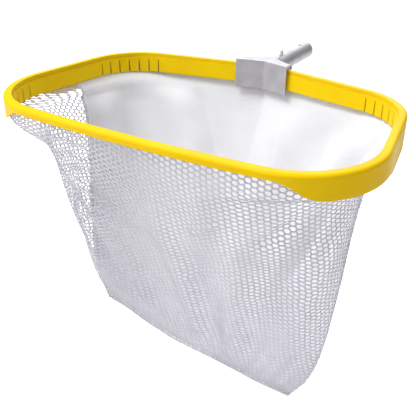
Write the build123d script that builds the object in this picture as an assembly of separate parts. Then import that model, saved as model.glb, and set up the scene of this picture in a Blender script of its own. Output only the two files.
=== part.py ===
from build123d import *
import os
from math import atan2, cos, degrees, radians, sin, sqrt

os.makedirs("parts", exist_ok=True)

# A leaf skimmer net: a deep bag held in a flat plastic hoop, on a tube that slips into a pool pole.
#
# Everything is drawn in the hoop's own frame, in millimetres: x across the hoop, y from the middle of
# its front edge towards the pole, z up from the rim's top face. PLACE then moves it all into the part's
# frame, whose origin is the middle of the handle tube's open end.

# ---- hoop, seen from above ----
FRONT_HALF = 299.5        # half the width between the two front corners, before rounding
BACK_HALF = 251.8         # half the width between the two back corners, before rounding
DEPTH = 375.0             # front edge to the point of the back rail
FRONT_BOW = 18.8          # how far the front rail bows forward between its corners
BACK_VEE = 50.5           # how far the back rail's point stands behind its corners
FRONT_R = 115.0           # front corner radius
BACK_R = 105.6            # back corner radius

# ---- rail section ----
RIM_T = 3.0               # thickness of the top face
RIM_ROUND = 4.5           # rounding of the outer top edge
WALL = 2.6                # outer skirt and inner flange
SKIRT = 45.0              # skirt height at the back
SKIRT_CORNER = 32.0       # skirt height round the front corners
SKIRT_FRONT = 10.0        # skirt height along the front, where it is trimmed to a low lip
FLANGE = 5.5              # height of the inner flange that the lock strip snaps behind
RAIL_GAP = 2.0            # gap between the rail's two ends, inside the bracket
TRIM_FROM = 186.0         # along x, where the front trim starts to fall away
TRIM_TO = 247.0           # along x, where it reaches the corner height
CLIMB_FROM = 186.0        # along y, where the side's lower edge starts to climb
CLIMB_TO = 120.0          # along y, where it reaches the corner height

# ---- lock strip, which snaps into the rail and traps the bag's hem ----
SNAP_CLEAR = 0.2          # clearance between snapped pieces
STRIP_T = 3.0             # thickness of the strip's face
STRIP_PROUD = 1.0         # how far the face stands inboard of the rim
STRIP_DROP = 31.0         # lower edge below the rim
STRIP_FRONT = 13.0        # lower edge below the rim, along the front
TONGUE_T = 2.3            # tongue that goes up behind the flange
TONGUE_FOOT = 9.5         # lower edge of the tongue below the rim
SLIT_W = 1.2              # slits that let the strip bend round the corners
SLIT_MOUTH = 2.6          # width of a slit at its open end
SLIT_PITCH = 19.0         # spacing along the outside of the corner
BACK_SLITS = 7            # at each back corner
FRONT_SLITS = 7           # at each front corner
STRIP_JOIN = 170.0        # along x, where the side strips meet the front strip

# ---- hem: a cord inside a folded band ----
BAND_T = 0.5              # thickness of the band
BAND_DROP = 11.5          # lower edge of the band below the rim
CORD_T = 2.7              # thickness of the cord
CORD_ROUND = 1.2          # rounding of the cord
HEM_CLEAR = 0.1           # between the cord, the band and the strip's tongue

# ---- bag ----
BAG_DEEP = 440.0          # rim to the bottom seam
BAG_T = 1.6               # thickness that the net and the cloth take up
BAG_HANG = 40.0           # the bag hangs straight down to here, inside the skirt
BOTTOM_THICK = 17.0       # front to back at the bottom seam
SEAM_TOP_Y = 206.0        # where the side seams leave the hoop
SEAM_FOOT_Y = 156.0       # where they meet the bottom seam
TAPE_W = 8.0              # width of the seam tapes
TAPE_T = 1.2              # thickness of the seam tapes
TAPE_CLEAR = 3.0          # the tapes start this far below the skirt
BAG_CLEAR = 0.65          # between the band's outer layer and the bag, which also clears the rivets' tails
BAG_UNDER_CORD = 0.3      # the bag's top edge below the cord
BAG_SECTIONS = (
    # share of the way down below BAG_HANG, width and depth as shares of the mouth's, and how far
    # the two back corners have closed up towards each other
    (0.0, 1.0, 1.0, 0.0),
    (0.14, 0.875, 0.89, 0.22),
    (0.28, 0.845, 0.76, 0.36),
    (0.5, 0.83, 0.54, 0.40),
    (0.75, 0.80, 0.29, 0.40),
    (0.9, 0.735, 0.14, 0.35),
    (1.0, 0.635, 0.0, 0.30),
)

# ---- handle tube and its snap pins ----
TUBE_R = 14.3             # 28.6 mm tube, which slips into a pole of 29 to 30 mm bore
TUBE_WALL = 1.6
TUBE_UNDER_WEB = 0.7      # top of the tube below the underside of the bracket's web
TUBE_OUT = 147.0          # from the back rail's point to the tube's open end
TUBE_CLEAR = 0.05         # between tube and socket
PIN_FROM_END = 100.0      # snap pins to the open end
SPARE_FROM_END = 27.0     # spare pair of pin holes to the open end
HOLE_R = 3.4              # pin holes
PIN_CLEAR = 0.3           # between a pin and its hole
PIN_OUT = 8.0             # how far a pin stands out of the tube
PIN_TRAVEL = 8.4          # how far it is pressed in
PIN_HEAD_R = 4.3
PIN_HEAD_T = 1.0
PIN_HEAD_CLEAR = 0.5      # between a pin's head and the tube's bore
LEAF_T = 0.8              # spring leaf
LEAF_W = 8.0
FOLD_FROM_PIN = 48.0      # the leaf's fold, from the pins
FOLD_R = 3.0
ARM_CLEAR = 0.05          # between the leaf's fold and its arms

# ---- bracket ----
PLATE_T = 3.1             # front plate, which stands inside the hoop
PLATE_HALF = 45.0         # half its width
PLATE_VEE = 0.25          # slope of its two wings
PLATE_TOP = 8.0           # above the rim
PLATE_FOOT = 38.0         # below the rim
PLATE_CLEAR = 0.5         # between the plate and the lock strip
WEB_T = 3.5               # web over the rail
WEB_END = 9.5             # how deep the web is at its ends, behind the plate
JAW_T = 3.5               # rear jaws, behind the rail
JAW_HALF = 41.0           # how far each jaw reaches
JAW_FOOT = 32.0           # lower edge of the jaws below the rim
JAW_CLEAR = 0.4           # between the jaws and the rail
BEAD_R = 4.5              # bead along the top of each jaw
BEAD_BORE = 2.2
SOCKET_WALL = 3.0
SOCKET_LONG = 22.0        # from the back rail's point to the socket's mouth
SOCKET_FLOOR = 4.0        # from the back rail's point to the tube's inner end
BOSS_HALF = 11.4          # half the width of the wedge between the socket and the web
BOSS_LONG = 16.5          # from the back rail's point to the wedge's foot
RIVET_R = 2.0
RIVET_CLEAR = 0.05
RIVET_HEAD_R = 4.0
RIVET_HEAD_T = 1.5
RIVET_TAIL_R = 2.8
RIVET_TAIL_T = 1.2
TAIL_CLEAR = 0.4          # a flat tail stands off the tube's round bore
RIVET_ROUND = 0.9         # rounding of a rivet's head
RAIL_RIVET_X = 32.0       # the jaw rivets, from the middle
RAIL_RIVET_DROPS = (16.0, 25.0)
TUBE_RIVET_Y = 14.0       # the socket rivets, from the back rail's point
TUBE_RIVET_TURN = 50.0    # degrees each side of straight down

# ---- places that follow from these ----
CHANNEL = 2 * SNAP_CLEAR + TONGUE_T + 2 * BAND_T + CORD_T + 4 * HEM_CLEAR  # what the rail closes round
RIM_W = WALL + CHANNEL + WALL                                              # width of the top face
TUBE_Z = PLATE_TOP - WEB_T - TUBE_UNDER_WEB - TUBE_R
TUBE_END = DEPTH + TUBE_OUT
PIN_Y = TUBE_END - PIN_FROM_END
SPARE_Y = TUBE_END - SPARE_FROM_END
FOLD_Y = PIN_Y + FOLD_FROM_PIN
FRONT_CORNER = (FRONT_HALF, FRONT_BOW)
BACK_CORNER = (BACK_HALF, DEPTH - BACK_VEE)
BACK_SLOPE = BACK_VEE / BACK_HALF
STRIP_FACE = RIM_W + STRIP_PROUD
FLANGE_IN = RIM_W - WALL
TONGUE_IN = FLANGE_IN - SNAP_CLEAR - TONGUE_T
HEM_OUT = WALL + SNAP_CLEAR
BAG_INSET = HEM_OUT + BAND_T + BAG_CLEAR
CORD_OUT = HEM_OUT + BAND_T + HEM_CLEAR
CORD_TOP = -RIM_T - SNAP_CLEAR - BAND_T - HEM_CLEAR
BAG_TOP = CORD_TOP - CORD_T - BAG_UNDER_CORD
PIN_R = HOLE_R - PIN_CLEAR
BELOW = SKIRT + 20.0       # a depth that clears everything the rail and the strip reach
EVERYWHERE = 4 * FRONT_HALF
PLACE = Location((0, -TUBE_END, -TUBE_Z))


def plan(inset, close=0.0):
    """The hoop's outline, drawn in by inset. Its back corners may close up by a share of their distance."""
    back_half = BACK_HALF * (1 - close)
    front = ThreePointArc((-FRONT_HALF, FRONT_BOW), (0, 0), FRONT_CORNER)
    right_back = (back_half, DEPTH - BACK_VEE)
    left_back = (-back_half, DEPTH - BACK_VEE)
    rest = Polyline(FRONT_CORNER, right_back, (0, DEPTH), left_back, (-FRONT_HALF, FRONT_BOW))
    sharp = make_face([front, rest])
    front_pair = sharp.vertices().filter_by(lambda v: v.Y < DEPTH / 4)
    rounded = fillet(front_pair, FRONT_R)
    at_back = rounded.vertices().filter_by(lambda v: v.Y > DEPTH / 2)
    rounded = fillet(at_back.filter_by(lambda v: abs(abs(v.X) - back_half) < 1), BACK_R)
    if inset == 0:
        return rounded
    return offset(rounded, -inset, kind=Kind.INTERSECTION)


def ring(outer, inner, low, high):
    """A closed band of the rail, between two insets and two heights."""
    return Pos(0, 0, low) * extrude(plan(outer) - plan(inner), high - low)


def corner_centre(corner, before, after, radius):
    """Centre of the arc that rounds a corner, and the direction from it to the corner."""
    to_before = (Vector(*before) - Vector(*corner)).normalized()
    to_after = (Vector(*after) - Vector(*corner)).normalized()
    half = radians(to_before.get_angle(to_after)) / 2
    inward = (to_before + to_after).normalized()
    centre = Vector(*corner) + inward * (radius / sin(half))
    return centre, -inward


def front_trim(corner_drop, front_drop):
    """What is cut from under the front: a smooth rise from the corner height to the front height."""
    rise = Spline((TRIM_FROM, -front_drop), (TRIM_TO, -corner_drop), tangents=[(1, 0), (1, 0)])
    flat = Line((-1, -front_drop), (TRIM_FROM, -front_drop))
    back = Polyline((TRIM_TO, -corner_drop), (TRIM_TO, -BELOW), (-1, -BELOW), (-1, -front_drop))
    half = extrude(Plane.XZ * make_face([flat, rise, back]), CLIMB_TO, both=True)
    return half + mirror(half, about=Plane.YZ)


def side_trim():
    """What is cut from under the sides, where the skirt climbs to its corner height."""
    climb = Spline((CLIMB_TO, -SKIRT_CORNER), (CLIMB_FROM, -SKIRT), tangents=[(1, 0), (1, 0)])
    ends = Polyline((CLIMB_FROM, -SKIRT), (CLIMB_FROM, -BELOW), (-BELOW, -BELOW), (-BELOW, -SKIRT_CORNER),
                    (CLIMB_TO, -SKIRT_CORNER))
    return extrude(Plane.YZ * make_face([climb, ends]), FRONT_HALF + BELOW, both=True)


def make_rim():
    """The bent rail: top face, outer skirt and inner flange, open underneath."""
    block = ring(0, RIM_W, -SKIRT, 0)
    top = block.faces().sort_by(Axis.Z)[-1]
    block = fillet(top.outer_wire().edges(), RIM_ROUND)
    block -= ring(WALL, FLANGE_IN, -BELOW, -RIM_T)
    block -= ring(FLANGE_IN - 1, RIM_W + 1, -BELOW, -FLANGE)
    block -= side_trim()
    block -= front_trim(SKIRT_CORNER, SKIRT_FRONT)
    block -= Pos(0, DEPTH, -SKIRT / 2) * Box(RAIL_GAP, 4 * RIM_W, 2 * SKIRT)
    for place in rail_rivet_places():
        block -= place * Cylinder(RIVET_R + RIVET_CLEAR, 6 * WALL)
    return block


def slit():
    """A slit in the strip, radial along y, wider at its open end."""
    top = -TONGUE_FOOT - 1
    foot = -STRIP_DROP - 1
    outline = Polyline((-SLIT_W / 2, top), (SLIT_W / 2, top), (SLIT_MOUTH / 2, foot), (-SLIT_MOUTH / 2, foot),
                       close=True)
    return extrude(Plane.XZ * make_face(outline), 2 * STRIP_T, both=True)


def corner_slits(corner, before, after, radius, count):
    """The slits round one corner, evenly spaced about its middle."""
    centre, outward = corner_centre(corner, before, after, radius)
    middle = degrees(atan2(outward.Y, outward.X))
    reach = radius - STRIP_FACE + STRIP_T / 2
    slits = []
    for i in range(count):
        turn = middle + degrees(SLIT_PITCH / radius) * (i - (count - 1) / 2)
        slits.append(Pos(centre.X, centre.Y, 0) * Rot(0, 0, turn) * Pos(reach, 0, 0) * Rot(0, 0, 90) * slit())
    return slits


def make_strips():
    """The lock strip, in a left, a right and a low front length."""
    strip = ring(STRIP_FACE - STRIP_T, STRIP_FACE, -STRIP_DROP, -FLANGE - SNAP_CLEAR)
    strip += ring(TONGUE_IN, STRIP_FACE - STRIP_T, -TONGUE_FOOT, -FLANGE - SNAP_CLEAR)
    strip += ring(TONGUE_IN, TONGUE_IN + TONGUE_T, -TONGUE_FOOT, -RIM_T - SNAP_CLEAR)
    strip -= front_trim(STRIP_DROP, STRIP_FRONT)
    front_box = Pos(0, 0, -BELOW / 2) * Box(2 * STRIP_JOIN, 2 * FRONT_R, BELOW)
    front = strip & front_box
    join = Pos(0, 0, -BELOW / 2) * Box(2 * (STRIP_JOIN + SNAP_CLEAR), 2 * FRONT_R, BELOW)
    sides = strip - join - Pos(0, DEPTH, 0) * Box(RAIL_GAP, 4 * RIM_W, 2 * BELOW)
    for cut in corner_slits(FRONT_CORNER, (0, FRONT_BOW / 2), BACK_CORNER, FRONT_R, FRONT_SLITS):
        sides = sides - cut - mirror(cut, about=Plane.YZ)
    for cut in corner_slits(BACK_CORNER, FRONT_CORNER, (0, DEPTH), BACK_R, BACK_SLITS):
        sides = sides - cut - mirror(cut, about=Plane.YZ)
    right = [s for s in sides.solids() if s.center().X > 0]
    left = [s for s in sides.solids() if s.center().X < 0]
    return left, right, list(front.solids())


def make_hem():
    """The cord, and the band that is folded over it and over the bag's top edge."""
    cord = ring(CORD_OUT, CORD_OUT + CORD_T, CORD_TOP - CORD_T, CORD_TOP)
    cord = fillet(cord.edges(), CORD_ROUND)
    band_in = TONGUE_IN - HEM_CLEAR
    band = ring(HEM_OUT, band_in, -BAND_DROP, -RIM_T - SNAP_CLEAR)
    band -= ring(HEM_OUT + BAND_T, band_in - BAND_T, -BELOW, -RIM_T - SNAP_CLEAR - BAND_T)
    return cord, band


def bag_block(top, grow):
    """The bag as a solid block from top down to its bottom seam, drawn out by grow."""
    mouth = plan(BAG_INSET).bounding_box()
    levels = [(top,) + BAG_SECTIONS[0]] + [(None,) + level for level in BAG_SECTIONS]
    sections = []
    for height, step, wide, deep, close in levels:
        outline = plan(BAG_INSET, close)
        box = outline.bounding_box()
        long = mouth.size.Y * deep + BOTTOM_THICK * step + 2 * grow
        share = (wide * mouth.size.X + 2 * grow) / box.size.X, long / box.size.Y
        middle = mouth.center().Y + (SEAM_FOOT_Y - mouth.center().Y) * step
        if height is None:
            height = -BAG_HANG - (BAG_DEEP + grow - BAG_HANG) * step
        flat = scale(outline, (*share, 1))
        sections.append((Pos(0, middle - box.center().Y * share[1], height) * flat).face())
    return loft(sections, ruled=True)


def seam_place():
    """The middle of the plane of the side seams, which leans forward to the bottom seam."""
    lean = degrees(atan2(SEAM_TOP_Y - SEAM_FOOT_Y, BAG_DEEP - STRIP_DROP))
    return Pos(0, (SEAM_TOP_Y + SEAM_FOOT_Y) / 2, -(BAG_DEEP + STRIP_DROP) / 2) * Rot(-lean, 0, 0)


def make_bag():
    """The net front and the cloth back, with tapes over the side seams and the bottom seam."""
    outer = bag_block(BAG_TOP, 0)
    shell = outer - bag_block(BAG_TOP + 1, -BAG_T)
    front_half = seam_place() * Pos(0, -DEPTH, 0) * Box(EVERYWHERE, 2 * DEPTH, 3 * BAG_DEEP)
    net = shell & front_half
    cloth = shell - front_half
    skin = bag_block(BAG_TOP, TAPE_T) - outer
    tape = skin & (seam_place() * Box(EVERYWHERE, TAPE_W, 3 * BAG_DEEP))
    tape -= Pos(0, SEAM_TOP_Y, 0) * Box(EVERYWHERE, EVERYWHERE, 2 * (SKIRT + TAPE_CLEAR))
    under = Pos(0, 0, -BAG_DEEP - BELOW) * Box(EVERYWHERE, EVERYWHERE, 2 * BELOW)
    sides = tape - under
    left = [s for s in sides.solids() if s.center().X < 0]
    right = [s for s in sides.solids() if s.center().X > 0]
    return net, cloth, left, right, list((tape & under).solids())


def back_y(x, out=0.0):
    """The back rail's outer face at x, or a line parallel to it and further out."""
    return DEPTH - BACK_SLOPE * abs(x) + out * sqrt(1 + BACK_SLOPE ** 2)


def rail_rivet_places():
    """Where the jaw rivets sit: on the rail's outer face, with their axes square to it."""
    places = []
    lean = degrees(atan2(BACK_SLOPE, 1))
    for side in (-1, 1):
        for drop in RAIL_RIVET_DROPS:
            x = side * RAIL_RIVET_X
            places.append(Pos(x, back_y(x), -drop) * Rot(0, 0, -side * lean) * Rot(-90, 0, 0))
    return places


def tube_rivet_places():
    """Where the socket rivets sit: on the socket's outside, with their axes through the tube's axis."""
    places = []
    for side in (-1, 1):
        turn = Rot(0, side * TUBE_RIVET_TURN, 0)
        places.append(Pos(0, DEPTH + TUBE_RIVET_Y, TUBE_Z) * turn * Pos(0, 0, -TUBE_R) * Rot(180, 0, 0))
    return places


def rivet(inside, outside):
    """A blind rivet along z: its head is outside, and its tail is inside the joint."""
    body = Pos(0, 0, (outside - inside) / 2) * Cylinder(RIVET_R, inside + outside)
    head = Pos(0, 0, outside + RIVET_HEAD_T / 2) * Cylinder(RIVET_HEAD_R, RIVET_HEAD_T)
    head = fillet(head.edges().sort_by(Axis.Z)[-1], RIVET_ROUND)
    tail = Pos(0, 0, -inside - RIVET_TAIL_T / 2) * Cylinder(RIVET_TAIL_R, RIVET_TAIL_T)
    return body + head + tail


def make_bracket():
    """The cast bracket: V plate inside the hoop, web over the rail, rear jaws and the tube's socket."""
    ridge = DEPTH - STRIP_FACE * sqrt(1 + BACK_SLOPE ** 2) - PLATE_CLEAR
    wing = ridge - PLATE_VEE * PLATE_HALF
    plate_plan = Polyline((0, ridge - PLATE_T), (PLATE_HALF, wing - PLATE_T), (PLATE_HALF, wing), (0, ridge),
                          (-PLATE_HALF, wing), (-PLATE_HALF, wing - PLATE_T), close=True)
    plate = Pos(0, 0, -PLATE_FOOT) * extrude(make_face(plate_plan), PLATE_FOOT + PLATE_TOP)
    neck = TUBE_R + SOCKET_WALL
    web_plan = Polyline((0, ridge), (PLATE_HALF, wing), (PLATE_HALF, wing + WEB_END), (neck, DEPTH + 1),
                        (neck, DEPTH + JAW_CLEAR + JAW_T), (-neck, DEPTH + JAW_CLEAR + JAW_T),
                        (-neck, DEPTH + 1), (-PLATE_HALF, wing + WEB_END), (-PLATE_HALF, wing), close=True)
    web = Pos(0, 0, PLATE_TOP - WEB_T) * extrude(make_face(web_plan), WEB_T)
    jaw_plan = Polyline((0, back_y(0, JAW_CLEAR)), (JAW_HALF, back_y(JAW_HALF, JAW_CLEAR)),
                        (JAW_HALF, back_y(JAW_HALF, JAW_CLEAR + JAW_T)), (0, back_y(0, JAW_CLEAR + JAW_T)),
                        (-JAW_HALF, back_y(JAW_HALF, JAW_CLEAR + JAW_T)),
                        (-JAW_HALF, back_y(JAW_HALF, JAW_CLEAR)), close=True)
    jaws = Pos(0, 0, -JAW_FOOT) * extrude(make_face(jaw_plan), JAW_FOOT + JAW_CLEAR)
    socket_from = DEPTH + JAW_CLEAR
    side = Polyline((socket_from, PLATE_TOP), (socket_from + JAW_T, PLATE_TOP),
                    (DEPTH + BOSS_LONG, TUBE_Z + neck), (DEPTH + BOSS_LONG, TUBE_Z),
                    (socket_from, TUBE_Z - neck), close=True)
    boss = extrude(Plane.YZ * make_face(side), BOSS_HALF, both=True)
    barrel = Pos(0, (socket_from + DEPTH + SOCKET_LONG) / 2, TUBE_Z) * Rot(90, 0, 0) \
        * Cylinder(neck, DEPTH + SOCKET_LONG - socket_from)
    body = plate + web + jaws + boss + barrel
    lean = degrees(atan2(BACK_SLOPE, 1))
    for hand in (-1, 1):
        long = (JAW_HALF - TUBE_R) / cos(radians(lean))
        mid = hand * (JAW_HALF + TUBE_R) / 2
        bead_place = Pos(mid, back_y(mid, JAW_CLEAR + BEAD_R), 0) * Rot(0, 0, -hand * lean) * Rot(0, 90, 0)
        body += bead_place * Cylinder(BEAD_R, long)
        body -= bead_place * Pos(0, 0, hand * long / 2) * Cylinder(BEAD_BORE, long)
    bore = TUBE_END - DEPTH - SOCKET_FLOOR
    body -= Pos(0, DEPTH + SOCKET_FLOOR + bore / 2, TUBE_Z) * Rot(90, 0, 0) \
        * Cylinder(TUBE_R + TUBE_CLEAR, bore)
    body -= ring(-JAW_CLEAR, STRIP_FACE + PLATE_CLEAR / 2, -BELOW, JAW_CLEAR)
    for place in rail_rivet_places():
        body -= place * Cylinder(RIVET_R + RIVET_CLEAR, 4 * JAW_T)
    for place in tube_rivet_places():
        body -= place * Cylinder(RIVET_R + RIVET_CLEAR, 4 * SOCKET_WALL)
    return body


def make_tube():
    """The handle tube, with its snap pin holes and the spare pair near its open end."""
    start = DEPTH + SOCKET_FLOOR + TUBE_CLEAR
    long = TUBE_END - start
    middle = Pos(0, (start + TUBE_END) / 2, TUBE_Z) * Rot(90, 0, 0)
    tube = middle * (Cylinder(TUBE_R, long) - Cylinder(TUBE_R - TUBE_WALL, long + 2))
    for y in (PIN_Y, SPARE_Y):
        tube -= Pos(0, y, TUBE_Z) * Cylinder(HOLE_R, 4 * TUBE_R)
    for place in tube_rivet_places():
        tube -= place * Cylinder(RIVET_R + RIVET_CLEAR, 4 * SOCKET_WALL)
    return tube


def make_clip():
    """The spring clip inside the tube, drawn about its own fold: fold, upper arm and upper pin."""
    fold = Cylinder(FOLD_R, LEAF_W) - Cylinder(FOLD_R - LEAF_T, LEAF_W + 1)
    fold = Rot(0, 90, 0) * fold
    fold &= Pos(0, FOLD_R, 0) * Box(4 * LEAF_W, 2 * FOLD_R, 4 * FOLD_R)
    head_top = sqrt((TUBE_R - TUBE_WALL) ** 2 - PIN_HEAD_R ** 2) - PIN_HEAD_CLEAR
    pad = head_top - PIN_HEAD_T
    pad_end = -FOLD_FROM_PIN - PIN_HEAD_R
    pad_start = -FOLD_FROM_PIN + PIN_HEAD_R
    arm_plan = Polyline((0, FOLD_R - LEAF_T), (0, FOLD_R), (pad_start, pad), (pad_end, pad),
                        (pad_end, pad - LEAF_T), (pad_start, pad - LEAF_T), close=True)
    arm = extrude(Plane.YZ * make_face(arm_plan), LEAF_W / 2, both=True)
    arm = Pos(0, -ARM_CLEAR, 0) * arm
    peg = Pos(0, -FOLD_FROM_PIN, pad - LEAF_T / 2) * Cylinder(PIN_R / 2 + RIVET_CLEAR, LEAF_T)
    arm -= peg
    pin_top = TUBE_R + PIN_OUT
    pin = Pos(0, -FOLD_FROM_PIN, (pad + pin_top) / 2) * Cylinder(PIN_R, pin_top - pad)
    pin = fillet(pin.edges().sort_by(Axis.Z)[-1], PIN_R / 2)
    pin += Pos(0, -FOLD_FROM_PIN, pad + PIN_HEAD_T / 2) * Cylinder(PIN_HEAD_R, PIN_HEAD_T)
    pin += Pos(0, -FOLD_FROM_PIN, pad - LEAF_T / 2) * Cylinder(PIN_R / 2, LEAF_T)
    return fold, arm, pin


def save(name, solids):
    """Write one sub-part, moved into the part's frame."""
    pieces = solids if isinstance(solids, list) else [solids]
    found = [s for piece in pieces for s in (PLACE * piece).solids()]
    kept = found[0] if len(found) == 1 else Compound(found)
    export_step(kept, f"parts/{name}.step")
    print(name, len(found), round(sum(s.volume for s in found), 1))


save("hoop_rim", make_rim())
strip_left, strip_right, strip_front = make_strips()
save("lock_strip_left", strip_left)
save("lock_strip_right", strip_right)
save("lock_strip_front", strip_front)
hem_cord, hem_band = make_hem()
save("hem_cord", hem_cord)
save("hem_band", hem_band)
bag_net, bag_cloth, seam_left, seam_right, seam_bottom = make_bag()
save("bag_net", bag_net)
save("bag_back_panel", bag_cloth)
save("side_seam_left", seam_left)
save("side_seam_right", seam_right)
save("bottom_seam", seam_bottom)
save("bracket", make_bracket())
save("handle_tube", make_tube())
rail_rivets = [p * rivet(WALL, JAW_CLEAR + JAW_T) for p in rail_rivet_places()]
save("rail_rivets", rail_rivets)
tube_rivets = [p * rivet(TUBE_WALL + TAIL_CLEAR, SOCKET_WALL) for p in tube_rivet_places()]
save("tube_rivets", tube_rivets)
clip_fold, clip_arm, clip_pin = make_clip()
clip_place = Pos(0, FOLD_Y, TUBE_Z)
save("clip_fold", clip_place * clip_fold)
save("clip_arm_upper", clip_place * clip_arm)
save("clip_arm_lower", clip_place * mirror(clip_arm, about=Plane.XY))
save("clip_pin_upper", clip_place * clip_pin)
save("clip_pin_lower", clip_place * mirror(clip_pin, about=Plane.XY))
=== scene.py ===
# %% [markdown]
# # A leaf skimmer net in Blender
# A leaf skimmer is a deep bag of net on a stiff plastic hoop, pushed through the water on a long pole.
# The hard pieces (hoop, bracket, tube, pins, rivets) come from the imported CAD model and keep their
# shapes. This lesson gives them their finishes and makes what CAD can't: the net, the cloth and the seams.

# %% Load the frame
import math

import bpy
import numpy as np
from mathutils import Matrix, Vector


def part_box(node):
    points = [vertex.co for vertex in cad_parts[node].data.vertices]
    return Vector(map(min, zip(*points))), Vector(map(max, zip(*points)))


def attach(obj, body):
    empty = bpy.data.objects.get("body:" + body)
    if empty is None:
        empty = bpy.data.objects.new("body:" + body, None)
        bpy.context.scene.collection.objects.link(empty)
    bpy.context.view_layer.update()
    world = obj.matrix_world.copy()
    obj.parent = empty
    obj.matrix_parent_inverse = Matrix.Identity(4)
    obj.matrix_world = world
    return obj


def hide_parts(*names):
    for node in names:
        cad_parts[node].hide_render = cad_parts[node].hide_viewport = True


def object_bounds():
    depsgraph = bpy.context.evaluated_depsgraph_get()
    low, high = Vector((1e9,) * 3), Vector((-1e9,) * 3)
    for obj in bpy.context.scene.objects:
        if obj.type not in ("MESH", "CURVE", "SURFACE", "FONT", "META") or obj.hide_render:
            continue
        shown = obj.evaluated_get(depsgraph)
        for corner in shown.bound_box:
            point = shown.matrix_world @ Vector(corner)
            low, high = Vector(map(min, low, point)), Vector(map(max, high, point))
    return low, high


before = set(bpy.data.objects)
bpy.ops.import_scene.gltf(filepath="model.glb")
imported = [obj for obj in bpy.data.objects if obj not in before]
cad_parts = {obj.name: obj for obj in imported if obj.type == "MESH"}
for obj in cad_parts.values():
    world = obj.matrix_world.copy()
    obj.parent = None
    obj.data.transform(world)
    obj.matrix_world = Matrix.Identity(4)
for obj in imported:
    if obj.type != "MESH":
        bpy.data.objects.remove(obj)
cad_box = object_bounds()
scene = bpy.context.scene
scene.view_settings.view_transform = "Standard"

# %% [markdown]
# ## The camera
# The camera stands in front of the hoop's right-hand side and looks down into the bag. A camera looks
# along its own -Z, so its matrix is built from three directions: right, up, and backwards.

# %% Camera
CAMERA_AT = Vector((0.456, -1.079, 0.306))
CAMERA_AZIMUTH = math.radians(31.4)
CAMERA_ELEVATION = math.radians(28.6)
CAMERA_ROLL = math.radians(0.4)
CAMERA_LENS = 56.0


def look_axes(azimuth, elevation):
    """Right, up and back for a camera that looks from that side and height towards the object."""
    right = Vector((math.cos(azimuth), math.sin(azimuth), 0))
    back = Vector((math.sin(azimuth) * math.cos(elevation), -math.cos(azimuth) * math.cos(elevation),
                   math.sin(elevation)))
    return right, back.cross(right), back


camera_data = bpy.data.cameras.new("camera")
camera_data.lens = CAMERA_LENS
camera = bpy.data.objects.new("camera", camera_data)
scene.collection.objects.link(camera)
right, up, back = look_axes(CAMERA_AZIMUTH, CAMERA_ELEVATION)
turned = right * math.cos(CAMERA_ROLL) + up * math.sin(CAMERA_ROLL)
facing_axes = Matrix((turned, back.cross(turned), back)).transposed()
camera.matrix_world = Matrix.LocRotScale(CAMERA_AT, facing_axes, None)
scene.camera = camera
print("camera at", tuple(CAMERA_AT))

# %% [markdown]
# ## Working with shader nodes
# Every finish below is a Principled BSDF whose colour, roughness and bump are driven by small networks.
# Two helpers keep those networks readable: one adds a node, sets its values and joins its inputs, and
# the other starts a material. The sky and the floor use them too.

# %% Shader helpers


def add(tree, kind, values=None, **settings):
    """Add a node. A value that is a socket is linked, and anything else is set as the default."""
    node = tree.nodes.new(kind)
    for key, value in settings.items():
        setattr(node, key, value)
    for key, value in (values or {}).items():
        if isinstance(value, bpy.types.NodeSocket):
            tree.links.new(value, node.inputs[key])
        else:
            node.inputs[key].default_value = value
    return node


def blend_colours(tree, factor, first, second):
    """A colour between two others. Either may be a socket or a plain colour."""
    mix = add(tree, "ShaderNodeMix", data_type="RGBA")
    for socket, value in ((mix.inputs[0], factor), (mix.inputs[6], first), (mix.inputs[7], second)):
        if isinstance(value, bpy.types.NodeSocket):
            tree.links.new(value, socket)
        else:
            socket.default_value = value
    return mix.outputs[2]


def map_range(tree, value, low, high, to_low, to_high):
    """Stretch part of a value's range over another, and clamp it."""
    values = {"Value": value, "From Min": low, "From Max": high, "To Min": to_low, "To Max": to_high}
    return add(tree, "ShaderNodeMapRange", values).outputs["Result"]


def start_material(name, roughness, metallic=0.0):
    """A new material, its node tree and its Principled BSDF."""
    material = bpy.data.materials.new(name)
    material.use_nodes = True
    shader = material.node_tree.nodes["Principled BSDF"]
    shader.inputs["Roughness"].default_value = roughness
    shader.inputs["Metallic"].default_value = metallic
    return material, material.node_tree, shader


def object_coordinates(tree):
    """Where a point is on the object, in metres."""
    return add(tree, "ShaderNodeTexCoord").outputs["Object"]


def bump(tree, shader, height, strength, distance, normal=None):
    """Raise the surface by height, without moving it."""
    node = add(tree, "ShaderNodeBump", {"Height": height, "Strength": strength, "Distance": distance})
    if normal is not None:
        tree.links.new(normal, node.inputs["Normal"])
    tree.links.new(node.outputs["Normal"], shader.inputs["Normal"])


def strength(tree, as_lamp, to_eye):
    """One strength for what a light gives off and another for how bright it looks."""
    ray = add(tree, "ShaderNodeLightPath").outputs["Is Camera Ray"]
    return map_range(tree, ray, 0.0, 1.0, as_lamp, to_eye)


# %% [markdown]
# ## The light and the floor
# A net is hard to light, because half of what the eye sees is what shines through it. The main soft
# light stands high on the left and shines into the bag, so that the cloth inside is brighter than the
# net in front of it and the hoop's right-hand end falls into shade. A second one glows through the
# cloth from behind, and a third reaches the front of the net from the left. The sky and the floor look
# white but light the net only a little, the sky mostly from overhead, so that shadows stay.

# %% Lights, sky and floor
FLOOR_DROP = 0.16            # how far the floor lies below the bag
FLOOR_HALF = 14.0
SKY_LOW = 0.10               # the sky as a lamp, at the horizon and overhead
SKY_HIGH = 0.92
FLOOR_GLOW = 0.06            # the floor as a lamp, and how bright it looks
FLOOR_WHITE = 0.6


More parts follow.
